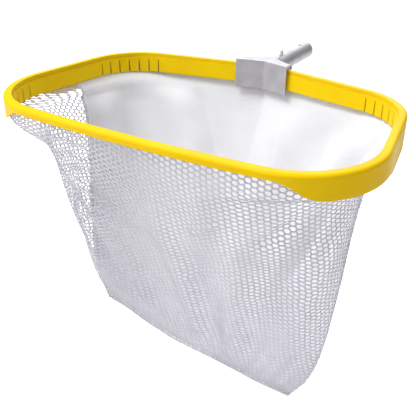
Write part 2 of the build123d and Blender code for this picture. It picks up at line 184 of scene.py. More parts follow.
def soft_light(name, place, target, size, power):
    """A square area light that points at target."""
    data = bpy.data.lights.new(name, "AREA")
    data.size = size
    data.energy = power
    light = bpy.data.objects.new(name, data)
    aim = (Vector(target) - Vector(place)).to_track_quat("-Z", "Y")
    light.matrix_world = Matrix.LocRotScale(Vector(place), aim, None)
    scene.collection.objects.link(light)


hoop_low, hoop_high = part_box("hoop_rim")
hoop_middle = (0.0, (hoop_low[1] + hoop_high[1]) / 2, hoop_high[2])
soft_light("key", (-0.9, -0.9, 2.3), hoop_middle, 1.1, 56.0)
soft_light("behind", (-0.7, 1.7, 0.7), (0.0, -0.25, -0.2), 1.5, 12.0)
soft_light("front", (-2.2, -2.2, 0.5), (0.0, -0.4, -0.2), 1.6, 24.0)

world = bpy.data.worlds.new("studio")
world.use_nodes = True
scene.world = world
air = world.node_tree
sky = air.nodes["Background"]
sky.inputs["Color"].default_value = (1.0, 1.0, 1.0, 1.0)
toward = add(air, "ShaderNodeTexCoord").outputs["Generated"]
overhead = add(air, "ShaderNodeSeparateXYZ", {"Vector": toward}).outputs["Z"]
lamp = map_range(air, overhead, 0.0, 1.0, SKY_LOW, SKY_HIGH)
air.links.new(strength(air, lamp, 1.0), sky.inputs["Strength"])

floor_z = cad_box[0][2] - FLOOR_DROP
floor_mesh = bpy.data.meshes.new("floor")
corners = [(x * FLOOR_HALF, y * FLOOR_HALF, floor_z) for x, y in ((-1, -1), (1, -1), (1, 1), (-1, 1))]
floor_mesh.from_pydata(corners, [], [(0, 1, 2, 3)])
floor = bpy.data.objects.new("floor", floor_mesh)
scene.collection.objects.link(floor)
paper, paper_tree, paper_shader = start_material("paper", 1.0)
paper_shader.inputs["Base Color"].default_value = (0.9, 0.9, 0.9, 1.0)
paper_shader.inputs["Specular IOR Level"].default_value = 0.0
paper_shader.inputs["Emission Color"].default_value = (1.0, 1.0, 1.0, 1.0)
paper_tree.links.new(strength(paper_tree, FLOOR_GLOW, FLOOR_WHITE), paper_shader.inputs["Emission Strength"])
floor_mesh.materials.append(paper)
print("floor at z =", round(floor_z, 3))

# %% [markdown]
# ## Shared surface effects
# Real finishes share a few faults: they are uneven, they are scratched the way they were handled, and
# their edges are rubbed bright. Each effect is a node group, built once, with its sizes as inputs.

# %% Group: uneven finish


def start_group(name, inputs, outputs):
    """A shader node group with its sockets, and its input and output nodes."""
    group = bpy.data.node_groups.new(name, "ShaderNodeTree")
    for label, kind in inputs:
        group.interface.new_socket(label, in_out="INPUT", socket_type=kind)
    for label, kind in outputs:
        group.interface.new_socket(label, in_out="OUTPUT", socket_type=kind)
    return group, group.nodes.new("NodeGroupInput"), group.nodes.new("NodeGroupOutput")


def uneven_group():
    """Broad cloudy patches and a fine grain, both from 0 to 1."""
    group, given, out = start_group(
        "uneven_finish",
        [("Place", "NodeSocketVector"), ("Broad scale", "NodeSocketFloat"),
         ("Fine scale", "NodeSocketFloat")],
        [("Broad", "NodeSocketFloat"), ("Fine", "NodeSocketFloat")])
    for label, detail in (("Broad", 3.0), ("Fine", 2.0)):
        noise = add(group, "ShaderNodeTexNoise", {"Vector": given.outputs["Place"],
                                                  "Scale": given.outputs[f"{label} scale"], "Detail": detail})
        group.links.new(map_range(group, noise.outputs["Fac"], 0.3, 0.7, 0.0, 1.0), out.inputs[label])
    return group


UNEVEN = uneven_group()

# %% Group: drawn lines


def lines_group():
    """Fine lines along one direction, as brushing, extruding and handling leave them."""
    group, given, out = start_group(
        "drawn_lines",
        [("Place", "NodeSocketVector"), ("Stretch", "NodeSocketVector"), ("Scale", "NodeSocketFloat")],
        [("Lines", "NodeSocketFloat"), ("Scratches", "NodeSocketFloat")])
    place = add(group, "ShaderNodeVectorMath", operation="MULTIPLY")
    group.links.new(given.outputs["Place"], place.inputs[0])
    group.links.new(given.outputs["Stretch"], place.inputs[1])
    noise = add(group, "ShaderNodeTexNoise", {"Vector": place.outputs[0], "Scale": given.outputs["Scale"],
                                              "Detail": 4.0, "Roughness": 0.7})
    group.links.new(noise.outputs["Fac"], out.inputs["Lines"])
    group.links.new(map_range(group, noise.outputs["Fac"], 0.64, 0.72, 0.0, 1.0), out.inputs["Scratches"])
    return group


LINES = lines_group()

# %% Group: rubbed edges


def edges_group():
    """A mask of the edges: where a rounded normal leaves the flat one."""
    group, given, out = start_group(
        "rubbed_edges", [("Radius", "NodeSocketFloat")],
        [("Edge", "NodeSocketFloat"), ("Normal", "NodeSocketVector")])
    rounded = add(group, "ShaderNodeBevel", {"Radius": given.outputs["Radius"]}, samples=4)
    flat = add(group, "ShaderNodeNewGeometry")
    dot = add(group, "ShaderNodeVectorMath", operation="DOT_PRODUCT")
    group.links.new(rounded.outputs["Normal"], dot.inputs[0])
    group.links.new(flat.outputs["Normal"], dot.inputs[1])
    group.links.new(map_range(group, dot.outputs["Value"], 0.98, 0.8, 0.0, 1.0), out.inputs["Edge"])
    group.links.new(rounded.outputs["Normal"], out.inputs["Normal"])
    return group


EDGES = edges_group()

# %% Group: woven threads


def weave_group():
    """Threads over and under each other, as a height from 0 to 1, on coordinates in metres."""
    group, given, out = start_group(
        "woven_threads", [("Place", "NodeSocketVector"), ("Pitch", "NodeSocketFloat")],
        [("Height", "NodeSocketFloat"), ("Gap", "NodeSocketFloat")])
    scaled = add(group, "ShaderNodeVectorMath", operation="SCALE")
    rate = add(group, "ShaderNodeMath", {0: math.pi, 1: given.outputs["Pitch"]}, operation="DIVIDE")
    group.links.new(given.outputs["Place"], scaled.inputs[0])
    group.links.new(rate.outputs[0], scaled.inputs["Scale"])
    parts = add(group, "ShaderNodeSeparateXYZ", {0: scaled.outputs[0]})
    waves = []
    for axis in ("X", "Y"):
        wave = add(group, "ShaderNodeMath", {0: parts.outputs[axis]}, operation="SINE")
        waves.append(add(group, "ShaderNodeMath", {0: wave.outputs[0]}, operation="ABSOLUTE").outputs[0])
    height = add(group, "ShaderNodeMath", {0: waves[0], 1: waves[1]}, operation="MAXIMUM")
    group.links.new(height.outputs[0], out.inputs["Height"])
    group.links.new(map_range(group, height.outputs[0], 0.35, 0.6, 1.0, 0.0), out.inputs["Gap"])
    return group


WEAVE = weave_group()


def use_group(tree, group, values):
    """Place one of the groups in a material."""
    return add(tree, "ShaderNodeGroup", values, node_tree=group).outputs


print("groups:", [g.name for g in (UNEVEN, LINES, EDGES, WEAVE)])

# %% [markdown]
# ## Moulded plastic
# The hoop is extruded in a strongly coloured plastic. Its colour is nearly even, so what makes it look
# like plastic is a soft gloss that varies a little, faint lines along the rail, and paler rubbed edges.

# %% Plastic finish


def plastic(name, colour, deep, worn, roughness):
    """Glossy coloured plastic with a faint grain, handling marks and rubbed edges."""
    material, tree, shader = start_material(name, roughness)
    place = object_coordinates(tree)
    uneven = use_group(tree, UNEVEN, {"Place": place, "Broad scale": 9.0, "Fine scale": 900.0})
    lines = use_group(tree, LINES, {"Place": place, "Stretch": (0.15, 0.15, 3.0), "Scale": 260.0})
    edge = use_group(tree, EDGES, {"Radius": 0.0012})
    body = blend_colours(tree, uneven["Broad"], colour, deep)
    wear = add(tree, "ShaderNodeMath", {0: edge["Edge"], 1: 0.35}, operation="MULTIPLY")
    shade = blend_colours(tree, wear.outputs[0], body, worn)
    marks = add(tree, "ShaderNodeMath", {0: lines["Scratches"], 1: 0.12}, operation="MULTIPLY")
    tree.links.new(blend_colours(tree, marks.outputs[0], shade, worn), shader.inputs["Base Color"])
    gloss = map_range(tree, uneven["Broad"], 0.0, 1.0, roughness - 0.05, roughness + 0.1)
    tree.links.new(gloss, shader.inputs["Roughness"])
    bump(tree, shader, uneven["Fine"], 0.12, 0.0002, edge["Normal"])
    shader.inputs["Specular IOR Level"].default_value = 0.1
    return material


HOOP = plastic("hoop_plastic", (0.89, 0.59, 0.0, 1), (0.83, 0.52, 0.0, 1), (0.94, 0.74, 0.02, 1), 0.38)
STRIP = plastic("strip_plastic", (0.94, 0.66, 0.0, 1), (0.89, 0.58, 0.0, 1), (1.0, 0.80, 0.04, 1), 0.42)
print("plastics:", HOOP.name, STRIP.name)

# %% [markdown]
# ## Metals
# The bracket is a casting that was brushed, the tube is extruded and anodised matt, and the rivets and
# the spring are bright. They differ in colour, in the direction of their lines and in how rough they are.

# %% Metal finishes


def metal(name, colour, dark, roughness, stretch, line_scale, edge_radius, metallic=0.9):
    """Metal with drawn lines, cloudy patches and bright edges."""
    material, tree, shader = start_material(name, roughness, metallic)
    place = object_coordinates(tree)
    uneven = use_group(tree, UNEVEN, {"Place": place, "Broad scale": 45.0, "Fine scale": 1500.0})
    lines = use_group(tree, LINES, {"Place": place, "Stretch": stretch, "Scale": line_scale})
    edge = use_group(tree, EDGES, {"Radius": edge_radius})
    cloud = blend_colours(tree, uneven["Broad"], colour, dark)
    lined = blend_colours(tree, map_range(tree, lines["Lines"], 0.35, 0.7, 0.0, 0.5), cloud, dark)
    bright = tuple(min(1.0, c * 1.35) for c in colour[:3]) + (1,)
    tree.links.new(blend_colours(tree, edge["Edge"], lined, bright), shader.inputs["Base Color"])
    rough = map_range(tree, lines["Lines"], 0.3, 0.7, roughness - 0.08, roughness + 0.1)
    tree.links.new(rough, shader.inputs["Roughness"])
    bump(tree, shader, lines["Lines"], 0.25, 0.00015, edge["Normal"])
    return material


CAST = metal("cast_aluminium", (0.60, 0.59, 0.63, 1), (0.47, 0.46, 0.49, 1), 0.42,
             (1.0, 1.0, 0.03), 700.0, 0.0009)
TUBE = metal("tube_aluminium", (0.68, 0.68, 0.70, 1), (0.52, 0.52, 0.54, 1), 0.45,
             (1.0, 0.02, 1.0), 600.0, 0.0006)
RIVET = metal("rivet_metal", (0.7, 0.7, 0.71, 1), (0.55, 0.55, 0.56, 1), 0.3,
              (1.0, 1.0, 1.0), 500.0, 0.0004)
SPRING = metal("spring_steel", (0.5, 0.5, 0.52, 1), (0.36, 0.36, 0.38, 1), 0.28,
               (1.0, 0.05, 1.0), 700.0, 0.0002, 1.0)
print("metals:", [m.name for m in (CAST, TUBE, RIVET, SPRING)])

# %% [markdown]
# ## Nylon, cord and band
# The snap pins are natural nylon, which is milky and lets a little light in. The hem's cord and band lie
# inside the rail, where only a line of them shows from below.

# %% Nylon and hem finishes


def nylon_finish():
    """Milky nylon with moulding grain and rubbed tips."""
    material, tree, shader = start_material("nylon", 0.42)
    place = object_coordinates(tree)
    uneven = use_group(tree, UNEVEN, {"Place": place, "Broad scale": 120.0, "Fine scale": 1400.0})
    edge = use_group(tree, EDGES, {"Radius": 0.0004})
    body = blend_colours(tree, uneven["Broad"], (0.74, 0.75, 0.74, 1), (0.64, 0.65, 0.65, 1))
    tree.links.new(blend_colours(tree, edge["Edge"], body, (0.9, 0.9, 0.88, 1)), shader.inputs["Base Color"])
    bump(tree, shader, uneven["Fine"], 0.15, 0.0001)
    shader.inputs["Subsurface Weight"].default_value = 0.15
    shader.inputs["Subsurface Radius"].default_value = (0.002, 0.002, 0.002)
    return material


def hem_finish(name, colour, dark, pitch):
    """Woven or braided hem material, on object coordinates."""
    material, tree, shader = start_material(name, 0.8)
    place = object_coordinates(tree)
    weave = use_group(tree, WEAVE, {"Place": place, "Pitch": pitch})
    uneven = use_group(tree, UNEVEN, {"Place": place, "Broad scale": 30.0, "Fine scale": 600.0})
    body = blend_colours(tree, weave["Gap"], colour, dark)
    soiled = add(tree, "ShaderNodeMath", {0: uneven["Broad"], 1: 0.3}, operation="MULTIPLY")
    tree.links.new(blend_colours(tree, soiled.outputs[0], body, dark), shader.inputs["Base Color"])
    bump(tree, shader, weave["Height"], 0.5, 0.0003)
    return material


NYLON = nylon_finish()
CORD = hem_finish("hem_cord", (0.8, 0.8, 0.8, 1), (0.5, 0.5, 0.52, 1), 0.0016)
BAND = hem_finish("hem_band", (0.85, 0.85, 0.86, 1), (0.6, 0.6, 0.62, 1), 0.0009)

# %% Dress the CAD nodes
FINISHES = {
    "hoop_rim": HOOP, "lock_strip_left": STRIP, "lock_strip_right": STRIP, "lock_strip_front": STRIP,
    "hem_cord": CORD, "hem_band": BAND, "bracket": CAST, "handle_tube": TUBE, "rail_rivets": RIVET,
    "tube_rivets": RIVET, "clip_fold": SPRING, "clip_arm_upper": SPRING, "clip_arm_lower": SPRING,
    "clip_pin_upper": NYLON, "clip_pin_lower": NYLON,
}
for node, finish in FINISHES.items():
    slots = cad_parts[node].data.materials
    if not slots:
        slots.append(finish)
    for index in range(len(slots)):
        slots[index] = finish
print("dressed", len(FINISHES), "CAD nodes")

# %% [markdown]
# ## The shape of the bag
# The bag is sewn from two panels. A net wraps round the front and both sides, and a smooth cloth closes
# the back. Both hang from the hoop and meet in a seam across the bottom, so one rule can describe them:
# the hoop's outline, drawn narrower and thinner the further down it is. The outline is worked out first.

# %% The hoop's outline
RIM_TOP = hoop_high[2]
FRONT_Y = hoop_low[1]
FRONT_HALF = 0.2995          # half the width at the front corners, before rounding
BACK_HALF = 0.2518           # half the width at the back corners, before rounding
DEPTH = 0.375                # front edge to the point of the back rail
FRONT_BOW = 0.0188           # how far the front bows forward
BACK_VEE = 0.0505            # how far the back rail's point stands behind its corners
FRONT_R = 0.115              # corner radii
BACK_R = 0.1056
BAG_INSET = 0.0048           # the bag's line, in from the hoop's outside
ARC_STEPS = 16


def unit(vectors):
    """The same directions, each of length 1."""
    return vectors / np.linalg.norm(vectors, axis=-1, keepdims=True)


def distance_along(points):
    """How far along a line of points each one is."""
    return np.concatenate([[0], np.cumsum(np.linalg.norm(np.diff(points, axis=0), axis=1))])


def round_corner(before, corner, after, radius):
    """Points on the arc that rounds a corner."""
    to_before, to_after = unit(before - corner), unit(after - corner)
    half = math.acos(float(to_before @ to_after)) / 2
    inward = unit(to_before + to_after)
    centre = corner + inward * radius / math.sin(half)
    first = corner + to_before * radius / math.tan(half) - centre
    last = corner + to_after * radius / math.tan(half) - centre
    turn = math.atan2(first[0] * last[1] - first[1] * last[0], float(first @ last))
    angles = np.linspace(0, turn, ARC_STEPS)
    return [centre + np.array([first[0] * math.cos(a) - first[1] * math.sin(a),
                               first[0] * math.sin(a) + first[1] * math.cos(a)]) for a in angles]


def hoop_outline(close, front_r=FRONT_R):
    """The hoop from above, round from the back rail's point, drawn in to the bag's line. Its back
    corners may close up towards each other."""
    front_corner = np.array([FRONT_HALF, FRONT_BOW])
    back_corner = np.array([BACK_HALF * (1 - close), DEPTH - BACK_VEE])
    tangent = np.array([FRONT_HALF - front_r, FRONT_BOW * (1 - front_r / FRONT_HALF) ** 2])
    half = [np.array([0.0, DEPTH])]
    half += round_corner(half[0], back_corner, front_corner, BACK_R)
    half += round_corner(back_corner, front_corner, tangent, front_r)
    for x in np.linspace(half[-1][0], 0.0, ARC_STEPS)[1:]:
        half.append(np.array([x, FRONT_BOW * (x / FRONT_HALF) ** 2]))
    whole = np.array(half + [p * (-1, 1) for p in half[-2:0:-1]])
    along = unit(np.roll(whole, -1, axis=0) - np.roll(whole, 1, axis=0))
    inward = np.column_stack([along[:, 1], -along[:, 0]])
    return whole + inward * BAG_INSET


MOUTH = hoop_outline(0.0)
HALF_WIDTH = MOUTH[:, 0].max()
MOUTH_LONG = MOUTH[:, 1].max() - MOUTH[:, 1].min()
MIDDLE_Y = (MOUTH[:, 1].max() + MOUTH[:, 1].min()) / 2
print("outline:", len(MOUTH), "points, half width", round(HALF_WIDTH, 4))

# %% [markdown]
# ## From outline to surface
# A point of a panel has two numbers: `across`, from -1 at the left seam to 1 at the right one, and
# `down`, from 0 at the hem to 1 at the bottom seam. The whole bag is worked out once on a fine grid,
# and everything sewn to it, from net cells to stitches, asks the grid where it goes.

# %% The bag's grid
BAG_TOP = -0.0068            # below the rim, inside the hem band
BAG_HANG = 0.026             # the bag hangs straight down to here
BAG_DEEP = 0.437
BAG_SECTIONS = np.array([
    # share of the way below BAG_HANG, width and depth as shares of the mouth's, closing of the back
    (0.0, 1.0, 1.0, 0.0),
    (0.04, 0.905, 0.98, 0.16),
    (0.08, 0.875, 0.95, 0.21),
    (0.15, 0.86, 0.88, 0.25),
    (0.28, 0.84, 0.76, 0.36),
    (0.5, 0.825, 0.54, 0.40),
    (0.75, 0.80, 0.29, 0.40),
    (0.9, 0.755, 0.12, 0.35),
    (1.0, 0.655, 0.009, 0.30),
])
SEAM_TOP_Y = 0.206
SEAM_FOOT_Y = 0.156
FOOT_SKEW = 0.022            # the right end of the bottom seam swings forward
MORE_FRONT_R = 0.055         # the front corners grow rounder below the skirt
ROUND_BY = 0.06              # share of the way below BAG_HANG where they are fully so
LEFT_RISE = 0.037            # how far the bottom seam's ends are drawn up
RIGHT_RISE = 0.006
EASE = 0.05                  # how far the rows of the table blend into each other
LEVELS = 111
ACROSS = 281


def smooth(value):
    """An S curve from 0 to 1."""
    value = np.clip(value, 0.0, 1.0)
    return value * value * (3 - 2 * value)


def bottom_height(side):
    """Where the bottom seam lies, from the left end (-1) to the right (1): its ends are drawn up, the
    left one more."""
    left, right = smooth((-0.15 - side) / 0.85), smooth((side - 0.6) / 0.4)
    return -BAG_DEEP + LEFT_RISE * left + RIGHT_RISE * right


def section_shares(step):
    """Width, depth and closing at a level, eased between the rows of the table."""
    shares = [np.interp(step + ease, BAG_SECTIONS[:, 0], BAG_SECTIONS[:, k])
              for k in (1, 2, 3) for ease in (-EASE, 0.0, EASE)]
    eased = np.array(shares).reshape(3, 3).mean(axis=1)
    exact = np.array([np.interp(step, BAG_SECTIONS[:, 0], BAG_SECTIONS[:, k]) for k in (1, 2, 3)])
    inside = smooth(min(step, 1 - step) * 8)
    return exact * (1 - inside) + eased * inside


def section(down):
    """The bag's outline at a level, with its height at each point."""
    step = np.clip((down * BAG_DEEP - BAG_HANG) / (BAG_DEEP - BAG_HANG), 0, 1)
    wide, deep, close = section_shares(step)
    outline = hoop_outline(close, FRONT_R + MORE_FRONT_R * smooth(step / ROUND_BY))
    centre = (outline[:, 1].max() + outline[:, 1].min()) / 2
    long = outline[:, 1].max() - outline[:, 1].min()
    side = outline[:, 0] / outline[:, 0].max()
    middle = MIDDLE_Y + (SEAM_FOOT_Y - MIDDLE_Y) * step
    x = side * HALF_WIDTH * wide
    y = middle + (outline[:, 1] - centre) * deep * MOUTH_LONG / long
    z = BAG_TOP + (bottom_height(side) - BAG_TOP) * down
    return np.column_stack([x, y, z])


def panel_row(down, front):
    """One row of a panel: the part of the section in front of the side seams, or behind them."""
    points = section(down)
    seam = SEAM_TOP_Y + (SEAM_FOOT_Y - SEAM_TOP_Y) * down
    ahead = points[:, 1] < seam
    start = next(i for i in range(len(points)) if ahead[i] != front and ahead[(i + 1) % len(points)] == front)
    run = []
    index = start
    while True:
        a, b = points[index % len(points)], points[(index + 1) % len(points)]
        if (a[1] < seam) != (b[1] < seam):
            run.append(a + (b - a) * (seam - a[1]) / (b[1] - a[1]))
            if len(run) > 1:
                break
        if ahead[(index + 1) % len(points)] == front:
            run.append(b)
        index += 1
    run = np.array(run)
    run[:, 1] -= FOOT_SKEW * smooth(run[:, 0] / HALF_WIDTH * 1.2) * down ** 3
    if run[0][0] > run[-1][0]:
        run = run[::-1]
    lengths = distance_along(run)
    wanted = np.linspace(0, lengths[-1], ACROSS)
    return np.column_stack([np.interp(wanted, lengths, run[:, k]) for k in range(3)])


def smooth_panel(front):
    """A panel with no folds, as rows of points."""
    rows = np.array([panel_row(d, front) for d in np.linspace(0, 1, LEVELS)])
    rows[:, :, 1] += FRONT_Y
    rows[:, :, 2] += RIM_TOP
    return rows


def facing(grid, front):
    """The outward direction at each point of a grid."""
    along = np.gradient(grid, axis=1)
    downward = np.gradient(grid, axis=0)
    normal = np.cross(along, downward)
    normal /= np.linalg.norm(normal, axis=2)[:, :, None] + 1e-12
    return -normal if front else normal


# %% [markdown]
# ## Folds
# Cloth that hangs is never smooth. A fold is a soft ridge along a line on the panel, and a crease is the
# same, only narrow. Each is written as its two ends, how far it stands out (or in, below zero) and how
# wide it is, so a new one costs one line.

# %% Folds and creases
NET_FOLDS = [
    # across, down at one end, across, down at the other, height, width
    ((0.04, 0.14), (0.12, 1.00), 0.0110, 0.019),
    ((-0.04, 0.30), (0.03, 0.95), -0.0080, 0.021),
    ((0.24, 0.30), (0.24, 1.00), -0.0110, 0.030),
    ((-0.62, 0.20), (-0.34, 0.98), -0.0110, 0.026),
    ((-0.78, 0.05), (-0.52, 0.90), 0.0080, 0.020),
    ((-0.36, 0.12), (-0.22, 0.92), 0.0090, 0.020),
    ((-0.18, 0.40), (-0.10, 0.98), -0.0060, 0.019),
    ((0.38, 0.40), (0.36, 1.00), 0.0100, 0.022),
    ((0.58, 0.32), (0.52, 0.92), -0.0120, 0.040),
    ((0.80, 0.20), (0.64, 1.00), 0.0080, 0.024),
    ((-0.46, 0.14), (-0.12, 0.28), 0.0050, 0.0055),
    ((-0.44, 0.27), (-0.06, 0.30), 0.0050, 0.0055),
    ((-0.66, 0.26), (-0.44, 0.36), 0.0045, 0.0055),
    ((0.20, 0.28), (0.34, 0.20), 0.0050, 0.0055),
    ((0.46, 0.30), (0.64, 0.17), -0.0060, 0.0090),
    ((0.08, 0.54), (0.34, 0.44), 0.0040, 0.0070),
    ((-0.26, 0.62), (0.02, 0.56), 0.0040, 0.0070),
]
CLOTH_FOLDS = [
    ((-0.80, 0.02), (-0.30, 0.70), 0.0090, 0.028),
    ((-0.56, 0.02), (-0.10, 0.80), -0.0080, 0.024),
    ((-0.40, 0.03), (-0.16, 0.40), 0.0050, 0.012),
    ((-0.20, 0.04), (0.00, 0.95), 0.0060, 0.030),
    ((0.12, 0.06), (0.24, 0.60), 0.0012, 0.004),
    ((0.20, 0.04), (0.10, 0.90), -0.0070, 0.034),
    ((0.46, 0.02), (0.22, 0.85), 0.0060, 0.034),
    ((0.64, 0.02), (0.40, 0.75), -0.0090, 0.018),
    ((0.76, 0.02), (0.54, 0.70), 0.0090, 0.011),
    ((0.84, 0.02), (0.64, 0.60), -0.0070, 0.010),
    ((0.92, 0.03), (0.74, 0.55), 0.0070, 0.010),
    ((-0.92, 0.05), (-0.66, 0.70), -0.0060, 0.020),
]
GATHERS = 15                 # small folds where the bottom seam is drawn together
GATHER_HEIGHT = 0.0022
GATHER_FROM = 0.82           # share of the way down where they begin


def fold_height(grid, folds):
    """How far a panel's folds move each point, in metres."""
    across = np.linspace(-1, 1, ACROSS)[None, :]
    down = np.linspace(0, 1, LEVELS)[:, None]
    width = np.linalg.norm(np.diff(grid, axis=1), axis=2).sum(axis=1)[:, None] / 2
    tall = BAG_DEEP
    total = np.zeros((LEVELS, ACROSS))
    for (a0, d0), (a1, d1), height, wide in folds:
        middle_width = float(width[int((d0 + d1) / 2 * (LEVELS - 1))][0])
        run = np.array([(a1 - a0) * middle_width, (d1 - d0) * tall])
        offset_x = (across - a0) * middle_width + 0 * down
        offset_y = (down - d0) * tall + 0 * across
        share = (offset_x * run[0] + offset_y * run[1]) / (run @ run)
        near = np.clip(share, 0, 1)
        gap = np.hypot(offset_x - near * run[0], offset_y - near * run[1])
        ends = smooth(np.minimum(near, 1 - near) * 4 + 0.05)
        total += height * np.exp(-(gap / wide) ** 2) * ends
    gather = GATHER_HEIGHT * np.sin(across * GATHERS * math.pi) * smooth((down - GATHER_FROM) / 0.16)
    ends = smooth((1 - np.abs(across)) * 7) * smooth((down - 0.09) * 14) * smooth((1 - down) * 22)
    return (total + gather) * ends


def make_grid(front, folds):
    """A panel with its folds in it."""
    grid = smooth_panel(front)
    return grid + facing(grid, front) * fold_height(grid, folds)[:, :, None]


NET_GRID = make_grid(True, NET_FOLDS)
CLOTH_GRID = make_grid(False, CLOTH_FOLDS)


def on_grid(grid, across, down):
    """The point of a grid at across (-1 to 1) and down (0 to 1), between its own points."""
    column = (np.clip(across, -1, 1) + 1) / 2 * (ACROSS - 1)
    row = np.clip(down, 0, 1) * (LEVELS - 1)
    c0 = np.minimum(column.astype(int), ACROSS - 2)
    r0 = np.minimum(row.astype(int), LEVELS - 2)
    fc, fr = (column - c0)[..., None], (row - r0)[..., None]
    top = grid[r0, c0] * (1 - fc) + grid[r0, c0 + 1] * fc
    low = grid[r0 + 1, c0] * (1 - fc) + grid[r0 + 1, c0 + 1] * fc
    return top * (1 - fr) + low * fr


def row_lengths(grid):
    """How long each row of a grid is."""
    return np.linalg.norm(np.diff(grid, axis=1), axis=2).sum(axis=1)


def panel_area(grid):
    """The area of a panel, from its grid."""
    a, b = np.diff(grid, axis=1)[:-1], np.diff(grid, axis=0)[:, :-1]
    return float(np.linalg.norm(np.cross(a, b), axis=2).sum())


def column_length(grid):
    """How long a panel is, down its middle."""
    return float(distance_along(grid[:, grid.shape[1] // 2])[-1])


print("net", round(panel_area(NET_GRID), 3), "m2, cloth", round(panel_area(CLOTH_GRID), 3), "m2")

# %% [markdown]
# ## Geometry Nodes, built in code
# A Geometry Nodes tree is a recipe: it takes a mesh, does the same thing to every part of it, and gives
# a new mesh back. These helpers build the trees and turn their result into a plain mesh, because only a
# plain mesh can be exported.

# %% Geometry Nodes helpers


def start_tree(name, inputs):
    """A geometry tree with named inputs, and its input and output nodes."""
    tree = bpy.data.node_groups.new(name, "GeometryNodeTree")
    tree.interface.new_socket("Geometry", in_out="INPUT", socket_type="NodeSocketGeometry")
    for label, kind in inputs:
        tree.interface.new_socket(label, in_out="INPUT", socket_type=kind)
    tree.interface.new_socket("Geometry", in_out="OUTPUT", socket_type="NodeSocketGeometry")
    return tree, tree.nodes.new("NodeGroupInput"), tree.nodes.new("NodeGroupOutput")


def end_tree(tree, given, out, geometry):
    """Turn instances into real mesh, give it its material and hand it over."""
    real = add(tree, "GeometryNodeRealizeInstances", {"Geometry": geometry})
    dressed = add(tree, "GeometryNodeSetMaterial", {"Geometry": real.outputs[0],
                                                    "Material": given.outputs["Material"]})
    tree.links.new(dressed.outputs[0], out.inputs["Geometry"])
    return tree


def new_object(name, mesh):
    """A mesh object in the scene, at the origin."""
    thing = bpy.data.objects.new(name, mesh)
    scene.collection.objects.link(thing)
    return thing


def thicken(thing, thickness):
    """Give a sheet its thickness, half on each side."""
    wall = thing.modifiers.new("thickness", "SOLIDIFY")
    wall.thickness = thickness
    wall.offset = 0.0


def grow(thing, tree, values):
    """Run a geometry tree on an object, and keep the result as its plain mesh."""
    modifier = thing.modifiers.new(tree.name, "NODES")
    modifier.node_group = tree
    for label, value in values.items():
        modifier[tree.interface.items_tree[label].identifier] = value
    evaluated = thing.evaluated_get(bpy.context.evaluated_depsgraph_get())
    mesh = bpy.data.meshes.new_from_object(evaluated)
    thing.modifiers.remove(modifier)
    thing.data = mesh


def lay_flat(mesh, name, flat):
    """A UV map from each point's flat place, in metres."""
    layer = mesh.uv_layers.new(name=name)
    order = np.array([loop.vertex_index for loop in mesh.loops])
    layer.data.foreach_set("uv", flat[order].ravel())


def finish_piece(piece, material, replaced):
    """What every piece needs: a finish, a body to ride on, and the CAD solids it stands for."""
    if not piece.data.materials:
        piece.data.materials.append(material)
    piece.data.polygons.foreach_set("use_smooth", [True] * len(piece.data.polygons))
    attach(piece, "net_frame")
    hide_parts(*replaced)
    print(piece.name, len(piece.data.polygons), "faces")


# %% [markdown]
# ## Finishes for net, cloth and tape
# The net is knitted from coated yarn, so it is a little shiny. Its grey, darker than the white yarn, is
# painted shade, so that the strands read darker than the lit cloth behind them. The cloth is a fine white
# weave that lets light through its gaps. Both read a UV map in metres, so that the weave stays the same
# size wherever the panel narrows.

# %% Net, cloth and tape finishes


def surface_coordinates(tree):
    """Where a point is on its own panel, in metres."""
    return add(tree, "ShaderNodeTexCoord").outputs["UV"]


def net_finish():
    """Coated yarn with fine ribs and a slight shine, in a soft grey that is painted shade: the yarn itself is
    white.
    """
    material, tree, shader = start_material("net_yarn", 0.46)
    place = surface_coordinates(tree)
    weave = use_group(tree, WEAVE, {"Place": place, "Pitch": 0.0006})
    uneven = use_group(tree, UNEVEN, {"Place": place, "Broad scale": 14.0, "Fine scale": 420.0})
    # painted shade: the white yarn gets a grey, so that the strands read darker than the lit cloth behind
    # them
    body = blend_colours(tree, uneven["Broad"], (0.58, 0.57, 0.64, 1), (0.70, 0.69, 0.76, 1))
    ribs = map_range(tree, uneven["Fine"], 0.0, 1.0, 0.0, 0.35)
    shade = blend_colours(tree, ribs, body, (0.47, 0.47, 0.55, 1))
    tree.links.new(shade, shader.inputs["Base Color"])
    tree.links.new(map_range(tree, uneven["Fine"], 0.0, 1.0, 0.4, 0.6), shader.inputs["Roughness"])
    bump(tree, shader, weave["Height"], 0.4, 0.0002)
    shader.inputs["Sheen Weight"].default_value = 0.15
    return material


def cloth_finish():
    """Fine white cloth: a tiny weave, faint crumples, and gaps that let light through."""
    material, tree, shader = start_material("back_cloth", 0.7)
    place = surface_coordinates(tree)
    weave = use_group(tree, WEAVE, {"Place": place, "Pitch": 0.0011})
    uneven = use_group(tree, UNEVEN, {"Place": place, "Broad scale": 18.0, "Fine scale": 240.0})
    body = blend_colours(tree, uneven["Broad"], (0.80, 0.80, 0.84, 1), (0.74, 0.75, 0.79, 1))
    threads = add(tree, "ShaderNodeMath", {0: weave["Gap"], 1: 0.35}, operation="MULTIPLY")
    shade = blend_colours(tree, threads.outputs[0], body, (0.62, 0.63, 0.69, 1))
    tree.links.new(shade, shader.inputs["Base Color"])
    gap = map_range(tree, weave["Gap"], 0.0, 1.0, 0.96, 0.7)
    tree.links.new(gap, shader.inputs["Alpha"])
    high = add(tree, "ShaderNodeMath", {0: weave["Height"], 1: 0.3}, operation="MULTIPLY")
    crumple = add(tree, "ShaderNodeMath", {0: uneven["Fine"], 1: high.outputs[0]}, operation="ADD")
    bump(tree, shader, crumple.outputs[0], 0.35, 0.0006)
    shader.inputs["Sheen Weight"].default_value = 0.3
    shader.inputs["Sheen Roughness"].default_value = 0.4
    return material


